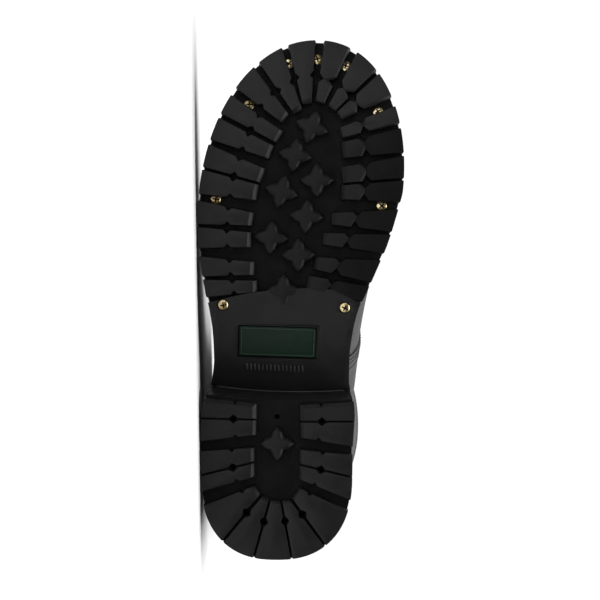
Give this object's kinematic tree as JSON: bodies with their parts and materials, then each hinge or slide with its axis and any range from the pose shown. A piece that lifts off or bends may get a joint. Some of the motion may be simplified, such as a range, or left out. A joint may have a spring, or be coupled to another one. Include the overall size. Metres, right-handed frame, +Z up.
{
  "type": "logger boot",
  "caption": "Black leather logger boot for the right foot, lying on its outer side, with a lugged rubber sole, a high block heel, brass screws and a laced front.",
  "frame": {"origin": "centre of the bottom of the bounding box: on the floor, under the middle of the boot as it lies on its outer side", "axes": "+X from the toe to the heel, +Y from the sole to the collar, +Z up, from the outer side of the boot to its inner side"},
  "size_m": [0.3054, 0.2912, 0.123],
  "materials": {
    "sole_rubber": "satin moulded rubber, worn on the lug tips",
    "heel_stack": "satin black block",
    "edge_leather": "burnished black edge",
    "black_leather": "polished black leather",
    "insole_leather": "plain tan leather",
    "brass": "polished, a little dirty",
    "green_plate": "satin moulded",
    "lace": "waxed woven cord"
  },
  "bodies": {
    "root": {"outsole": "sole_rubber", "heel_lift": "sole_rubber", "heel_stack": "heel_stack", "midsole": "edge_leather", "welt": "edge_leather", "upper": "black_leather", "heel_counter": "black_leather", "backstay": "black_leather", "facing_outer": "black_leather", "facing_inner": "black_leather", "tongue": "black_leather", "insole": "insole_leather", "label_plate": "green_plate", "lace": "lace", "eyelet_outer_1": "brass", "eyelet_outer_2": "brass", "eyelet_outer_3": "brass", "eyelet_outer_4": "brass", "eyelet_outer_5": "brass", "eyelet_outer_6": "brass", "eyelet_outer_7": "brass", "eyelet_outer_8": "brass", "eyelet_outer_9": "brass", "eyelet_inner_1": "brass", "eyelet_inner_2": "brass", "eyelet_inner_3": "brass", "eyelet_inner_4": "brass", "eyelet_inner_5": "brass", "eyelet_inner_6": "brass", "eyelet_inner_7": "brass", "eyelet_inner_8": "brass", "eyelet_inner_9": "brass", "screw_1": "brass", "screw_2": "brass", "screw_3": "brass", "screw_4": "brass", "screw_5": "brass", "screw_6": "brass", "screw_7": "brass", "screw_8": "brass", "screw_9": "brass"}
  },
  "joints": []
}
